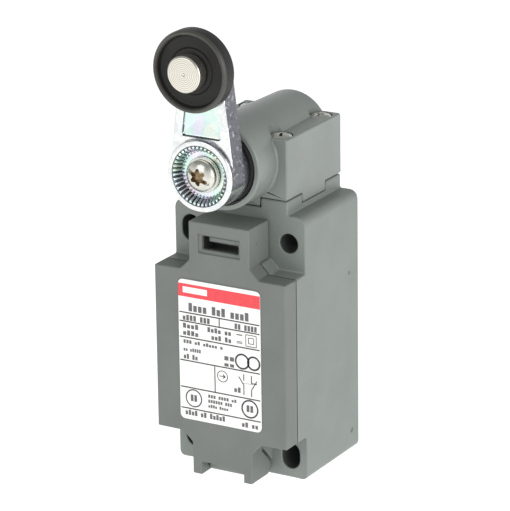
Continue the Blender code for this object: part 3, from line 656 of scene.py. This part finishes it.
PANEL_DEPTH = 1.0
half_section = [(panel_edge, -99, PANEL_DEPTH), (panel_edge, -0.45, PANEL_DEPTH),
                (panel_edge, -0.2, PANEL_DEPTH - 0.1), (panel_edge, -0.08, PANEL_DEPTH - 0.35),
                (panel_edge, 0.0, 0.2), (panel_edge, 0.15, 0.0), (arm_edge, -0.6, 0.0),
                (arm_edge, -0.3, 0.06), (arm_edge, -0.08, 0.25), (arm_edge, 0.0, 0.6)]
rows = ([(edge, inset, ARM_FRONT - deep) for edge, inset, deep in half_section]
        + [(edge, inset, ARM_REAR + deep) for edge, inset, deep in reversed(half_section)])
arm_radius = np.stack([np.maximum(edge + inset, 0) for edge, inset, _ in rows])
arm_along = np.broadcast_to(np.array([row[2] for row in rows])[:, None], arm_radius.shape)
arm = ring_grid(np.stack([ARM_CENTRE[0] + arm_radius * np.cos(ARM_DIRECTIONS), -arm_along,
                          ARM_CENTRE[1] + arm_radius * np.sin(ARM_DIRECTIONS)], axis=-1))

lever = finish_piece("lever_casting", make_mesh("lever_casting", [hub, arm]), [BRIGHT_ZINC],
                     "lever", ["lever_arm"])
EDGE_ON = 0.35                    # squareness below which a face is part of the outer edge
RECESS_RADIUS, RECESS_FLOOR = 8.2, 46.0
OUTSIDE_HUB = 9.8
TEETH_FROM, TEETH_TO, TEETH_FLOOR = 6.6, 8.4, 46.65
# Partly real cast skin and partly painted shade: darker zinc on the lever's edges, only where
# they do not face down.
paint(lever, CAST_ZINC_AND_SHADE, lambda along, radius, square, lift: (np.abs(square) < EDGE_ON)
      & (radius > 8.6) & (lift > -0.3), LEVER_AXIS)
paint(lever, TINTED_ZINC, lambda along, radius, square, lift: (radius < RECESS_RADIUS)
      & (along > RECESS_FLOOR) | (radius > OUTSIDE_HUB) & (along < ARM_FRONT - 0.3)
      & (square > 0.5), LEVER_AXIS)
# Painted shade: the roots of the hub's teeth get a darker zinc.
paint(lever, SHADED_ROOT_ZINC, lambda along, radius, square, lift: (radius > TEETH_FROM)
      & (radius < TEETH_TO) & (along > TEETH_FLOOR)
      & (normal[0] * (radius - CONE_LOW[0]) + normal[1] * (along - CONE_LOW[1])
         < 0.3 * TOOTH_HEIGHT), LEVER_AXIS)

# %% [markdown]
# ## Screws
#
# A screw head is pressed with its driver recess in one blow. Cutting a recess with a Boolean
# leaves long thin faces, so the recess is a height map instead: the dome of the head, less the
# deepest of a few soft-edged shapes, each worked out from the distance to its own outline.

# %% Screw heads


def inside(distance, wall=0.12):
    """1 where a signed distance is well inside, 0 outside, with a smooth wall between."""
    t = np.clip(0.5 - distance / (2 * wall), 0, 1)
    return t * t * (3 - 2 * t)


def star_and_slot(x, y):
    """A six-lobed socket, radius 1.85 + 0.4 cos 6a, with a slot across it."""
    r, a = np.hypot(x, y), np.arctan2(y, x)
    star = 1.1 * inside(r - 1.85 - 0.4 * np.cos(6 * a))
    slot = 0.7 * inside(np.maximum(np.abs(y) - 0.45, np.abs(x) - 3.4))
    return np.maximum(star, slot)


def cross(x, y):
    """Four wings 0.8 mm wide, shallower towards their tips, with fine ribs between them."""
    r = np.hypot(x, y)
    wings = np.minimum(np.abs(x), np.abs(y)) - 0.36
    wings = (1.3 - 0.4 * r) * inside(np.maximum(wings, np.maximum(np.abs(x), np.abs(y)) - 1.85))
    ribs = np.minimum(np.abs(x - y), np.abs(x + y)) - 0.12
    ribs = 0.12 * inside(np.maximum(ribs, r - 1.9), 0.06)
    return np.maximum(wings, ribs)


def screw(name, node, head, shank, recess, recess_shade, turn=0.0, upright=False, columns=144):
    """A screw: head = (radius, top, edge, under), shank = (radius, end), along its axis.

    The dome falls from top to edge as the cube of the radius, less the recess, whose floor gets
    the darker material passed for it, as painted shade.
    """
    radius, top, edge, under = head
    r = np.append(np.linspace(0, radius * 0.96, 46), radius)[:, None]
    a = np.linspace(0, 2 * np.pi, columns, endpoint=False) + turn
    dome = top - (top - edge) * (r / radius) ** 3 - recess(r * np.cos(a), r * np.sin(a))
    low = eased([(radius, edge - 0.05), (radius, under), (shank[0], under), (shank[0], shank[1]),
                 (0, shank[1])], 0.1, closed=False)
    points = np.vstack([revolve(r, dome, middle(node), upright, columns),
                        revolve(low[:, 0], low[:, 1], middle(node), upright, columns)])
    piece = finish_piece(name, make_mesh(name, [ring_grid(points)]), [PLATED_STEEL],
                         BODY_OF[node], [node], 40)
    # Painted shade: the floor of the driver recess gets the darker material.
    paint(piece, recess_shade, lambda along, across, *_: (across < 0.65 * radius) & (along > under)
          & (along < top - 0.5), middle(node), upright)
    return piece


screw("lever_screw_head", "lever_screw", (4.2, 50.4, 48.8, 48.1), (1.9, 37.5), star_and_slot,
      BROWN_SHADE_STEEL, turn=0.5)
for turn, place in zip((0.3, 1.1, 0.7, 0.1), ("front_left", "front_right", "rear_left",
                                              "rear_right")):
    top = limits(f"head_screw_{place}")[1][2]
    screw(f"head_screw_{place}_head", f"head_screw_{place}", (3.0, top, top - 0.7, top - 2.0),
          (1.5, top - 24.3), cross, SHADED_STEEL, turn, upright=True)
for index in range(1, 5):
    screw(f"terminal_screw_{index}_head", f"terminal_screw_{index}", (2.8, 28.0, 27.4, 25.9),
          (1.5, 16.0), cross, SHADED_STEEL, 0.4 * index)
for side in ("left", "right"):
    screw(f"base_screw_{side}_head", f"base_screw_{side}", (2.4, 10.6, 10.1, 8.9), (1.2, 1.5),
          cross, SHADED_STEEL, 0.8)

# %% [markdown]
# ## Washer, shaft seal and cable thread
#
# The washer spreads the lever screw's load, the seal keeps water out of the head round the
# shaft, and the entry below takes an M20 gland with a pitch of 1.5 mm. The thread is a thin
# sleeve whose inner radius follows a triangle wave of height over pitch less the turn.

# %% Washer, seal and thread
turned("lever_washer_turned", [(2.5, 47.8), (4.8, 47.8), (4.8, 46.9), (2.5, 46.9)], LEVER_AXIS,
       PLATED_STEEL, "lever", ["lever_washer"], closed=True)
turned("shaft_seal_lip", [(4.4, 38.2), (5.6, 38.8), (6.6, 38.8), (7.0, 38.3), (8.2, 38.3),
                          (8.6, 38.8), (9.6, 38.8), (10.3, 38.2), (10.3, 37.7), (4.4, 37.7)],
       LEVER_AXIS, NITRILE_AND_SEAM_SHADE, "body", ["shaft_seal"], closed=True)

THREAD_PITCH, THREAD_CREST, THREAD_ROOT, THREAD_WALL = 1.5, 8.95, 9.22, 9.28
THREAD_START, THREAD_END, RUN_OUT = 0.5, 13.0, 0.8
THREAD_COLUMNS = 96
underside = limits("body_housing")[0][2]
rise = np.linspace(THREAD_START, THREAD_END, 101)[:, None]
turn = np.linspace(0, 1, THREAD_COLUMNS, endpoint=False)
tooth = 2 * np.abs((rise / THREAD_PITCH - turn) % 1 - 0.5)
fade = np.clip(np.minimum(rise - THREAD_START, THREAD_END - rise) / RUN_OUT, 0, 1)
bore = THREAD_ROOT - (THREAD_ROOT - THREAD_CREST) * tooth * fade
entry = middle("head_gasket")
height = np.repeat(underside + rise, THREAD_COLUMNS, axis=1)
sleeve = np.vstack([revolve(bore, height, entry, True),
                    revolve([THREAD_WALL] * 2, underside + rise[[-1, 0], 0], entry, True)])
finish_piece("cable_entry_thread", make_mesh("cable_entry_thread", [ring_grid(sleeve, True)]),
             [GREY_POLYAMIDE], "body", crease=60)

# %% [markdown]
# ## Label
#
# The label carries ratings in rows between thin rules. Its words and marks are left as plain
# grey bars, rings and squares, because a shared part should name nobody. A decal texture would
# need an image file. Each bar is a thin box of ink instead, and all of them are one mesh.

# %% Label
LABEL_FRONT = -limits("nameplate")[0][1]
ORIGIN_HEIGHT = -35.2    # heights on the label are measured from this z
INK = 0.03
INK_BACK = LABEL_FRONT - 0.01    # a little inside the film, so that no gap shows
softened("nameplate", WHITE_FILM, "cover", 0)


def strokes(lines, thick=INK):
    """Thin boxes along (x0, z0, x1, z1, width) lines, as (points, quads) of one array.

    Each end is moved by half the width along the line's normal, at two depths.
    """
    lines = np.asarray(lines, float).reshape(-1, 5)
    start, end, half = lines[:, 0:2], lines[:, 2:4], lines[:, 4:] / 2
    along = (end - start) / np.linalg.norm(end - start, axis=1)[:, None]
    side = np.stack([-along[:, 1], along[:, 0]], axis=-1) * half
    flat = np.stack([start - side, end - side, end + side, start + side], axis=1)
    flat = np.concatenate([flat, flat], axis=1)
    depth = np.broadcast_to(-np.repeat((INK_BACK, LABEL_FRONT + thick), 4)[None, :, None],
                            (len(lines), 8, 1))
    points = np.concatenate([flat[..., :1], depth, flat[..., 1:] + ORIGIN_HEIGHT], axis=-1)
    box = np.array(((0, 1, 2, 3), (4, 7, 6, 5), (0, 4, 5, 1), (1, 5, 6, 2), (2, 6, 7, 3),
                    (3, 7, 4, 0)))
    quads = (box + 8 * np.arange(len(lines))[:, None, None]).reshape(-1, 4)
    return points.reshape(-1, 3), quads


def ring(x, z, radius, width):
    """A flat ring of ink."""
    radii = np.array((-1, 1, 1, -1)) * width / 2 + radius
    along = np.repeat((INK_BACK, LABEL_FRONT + INK), 2)
    return ring_grid(revolve(radii, along, (x, 0, z + ORIGIN_HEIGHT), columns=48), True)


def words(x0, x1, z0, z1, lengths):
    """A line of words as blocks, one for each letter, with the given letter counts."""
    cells = sum(lengths) + 0.9 * (len(lengths) - 1)
    pitch = (x1 - x0) / cells
    starts = np.concatenate([[0], np.cumsum(np.array(lengths) + 0.9)[:-1]])
    letters = np.concatenate([start + np.arange(n) for start, n in zip(starts, lengths)])
    x = x0 + (letters + 0.5) * pitch
    tall = np.random.default_rng(len(letters) + int(10 * z0)).choice((0.74, 1.0), len(x))
    return np.stack([x, np.full(len(x), z0), x, z0 + (z1 - z0) * tall,
                     np.full(len(x), pitch * 0.74)], axis=-1)


RULES = [(-12.3, z, 12.3, z, 0.34) for z in (45.4, 42.9, 38.4, 31.8, 24.2, 18.2)]
DIVIDERS = [(0, 42.9, 0, 45.4, 0.3), (-1.6, 24.2, -1.6, 31.8, 0.3)]
NESTED = [(x + a * s, z + b * s, x + c * s, z + d * s, 0.2) for x, z, s in ((9.7, 40.6, 1.6),
          (9.7, 40.6, 0.8)) for a, b, c, d in ((-1, -1, 1, -1), (1, -1, 1, 1), (1, 1, -1, 1),
                                               (-1, 1, -1, -1))]
CONTACTS = [(7.3, 30.9, 7.3, 29.1, 0.28), (7.3, 28.0, 7.3, 25.0, 0.28),
            (5.8, 30.0, 7.3, 27.8, 0.28), (9.65, 30.8, 9.65, 28.7, 0.28),
            (9.55, 28.7, 11.3, 28.7, 0.28), (11.3, 29.5, 9.65, 26.8, 0.28),
            (9.65, 26.8, 9.65, 24.9, 0.28)]
CONTACTS += [(x, 28.4, x + 0.35, 28.4, 0.16) for x in np.arange(7.2, 10.2, 0.62)]
ARROW = [(-0.2, 29.15, 1.5, 29.15, 0.22), (0.9, 29.7, 1.6, 29.15, 0.25),
         (0.9, 28.6, 1.6, 29.15, 0.25)]
DASHES = [(5.3, 41.8, 7.0, 41.8, 0.3), (5.3, 39.9, 7.0, 39.9, 0.2), (5.3, 39.5, 7.0, 39.5, 0.2)]
ink = [strokes(RULES + DIVIDERS + NESTED + CONTACTS + ARROW + DASHES)]
ink += [ring(*place) for place in ((0.75, 29.15, 1.55, 0.22), (-8.3, 21.3, 2.4, 0.35),
                                   (9.05, 21.3, 2.4, 0.45), (6.9, 34.4, 2.0, 0.5),
                                   (10.4, 34.4, 1.8, 0.5))]
finish_piece("label_rules_and_symbols", make_mesh("label_rules", ink), [BLACK_INK], "cover")

LINES = ((-9.6, 9.2, 45.95, 48.3, (4, 3, 4)), (-11.4, -2.8, 43.25, 44.8, (4, 3)),
         (4.6, 11.6, 43.25, 44.8, (2, 4)), (-11.4, -6.4, 41.0, 42.4, (4,)),
         (-3.8, 3.7, 41.0, 42.4, (4, 2)), (-11.4, -6.4, 39.0, 40.4, (4,)),
         (-2.6, 3.7, 39.0, 40.4, (3, 2)), (-11.3, 1.0, 36.7, 37.7, (3, 2, 5, 1)),
         (-11.3, -5.8, 34.5, 35.5, (2, 5)), (-11.3, -6.8, 32.3, 33.7, (2, 2)),
         (1.2, 4.6, 33.9, 35.1, (2,)), (1.2, 4.6, 32.2, 33.4, (2,)), (4.2, 6.4, 25.4, 26.9, (2,)),
         (-9.4, -7.2, 20.4, 22.3, (2,)), (7.9, 10.2, 20.4, 22.3, (2,)),
         (-3.9, 5.0, 22.3, 23.2, (3, 4, 2)), (-3.9, 3.6, 20.9, 21.8, (6, 3)),
         (-3.9, 2.4, 19.5, 20.4, (4, 4)), (-11.1, 1.4, 16.3, 17.8, (4, 2, 5)),
         (6.4, 11.6, 15.9, 17.3, (2, 2)))
text = np.vstack([words(*line) for line in LINES])
finish_piece("label_greyed_words", make_mesh("label_words", [strokes(text)]), [GREY_INK],
             "cover")
band = strokes([(-12.54, 51.7, 12.54, 51.7, 3.65)], thick=0.02)
finish_piece("label_band", make_mesh("label_band", [band]), [RED_INK], "cover")
bar = strokes([(-11.1, 51.85, -3.6, 51.85, 1.7)], thick=0.04)
finish_piece("label_bar", make_mesh("label_bar", [bar]), [WHITE_FILM], "cover")

# %% [markdown]
# ## Light, floor and air
#
# A plain pale sheet far below the switch, lit from underneath like a light table, and two large
# soft lamps: a near one on the right, so that the side facing it is the brightest, and a larger
# one in front that lifts the label. The air is white low down and dims overhead.

# %% Set the studio
FLOOR_DROP = 150.0
FLOOR_HALF = 12    # metres, far past the edges of the picture
floor_mesh = bpy.data.meshes.new("floor")
floor_mesh.from_pydata([(x * FLOOR_HALF, y * FLOOR_HALF, cad_box[0][2] - FLOOR_DROP * MM)
                        for x, y in ((-1, -1), (1, -1), (1, 1), (-1, 1))], [], [(0, 1, 2, 3)])
floor = bpy.data.objects.new("floor", floor_mesh)
bpy.context.scene.collection.objects.link(floor)
table, _, shader = new_material("lit_acrylic_sheet", Roughness=0.9, Specular_IOR_Level=0.1,
                                Emission_Strength=0.65)
shader.inputs["Base Color"].default_value = linear("#F4F4F4")
shader.inputs["Emission Color"].default_value = linear("#FFFFFF")
floor_mesh.materials.append(table)

world = bpy.data.worlds.new("studio")
bpy.context.scene.world = world
world.use_nodes = True
sky = world.node_tree
height = add(sky, "SeparateXYZ", {"Vector": add(sky, "TexCoord").outputs["Generated"]})
shade = add(sky, "ValToRGB", {"Fac": height.outputs["Z"]}, [(0.15, "#FFFFFF"), (0.6, "#A0A2A2")])
sky.links.new(shade.outputs["Color"], sky.nodes["Background"].inputs["Color"])
sky.nodes["Background"].inputs["Strength"].default_value = 1.0

for name, size, power, spot in (("key", 0.5, 2.4, (0.73, -0.22, 0.24)),
                                ("fill", 0.8, 3.6, (-0.3, -1.1, 0.7))):
    lamp = bpy.data.objects.new(name, bpy.data.lights.new(name, "AREA"))
    bpy.context.scene.collection.objects.link(lamp)
    lamp.data.size, lamp.data.energy, lamp.location = size, power, spot
    lamp.rotation_mode = "QUATERNION"
    lamp.rotation_quaternion = (lamp.location - TARGET).to_track_quat("Z", "Y")
bpy.context.scene.view_settings.view_transform = "Standard"
print("floor at z", round(floor_mesh.vertices[0].co.z / MM, 1), "mm")
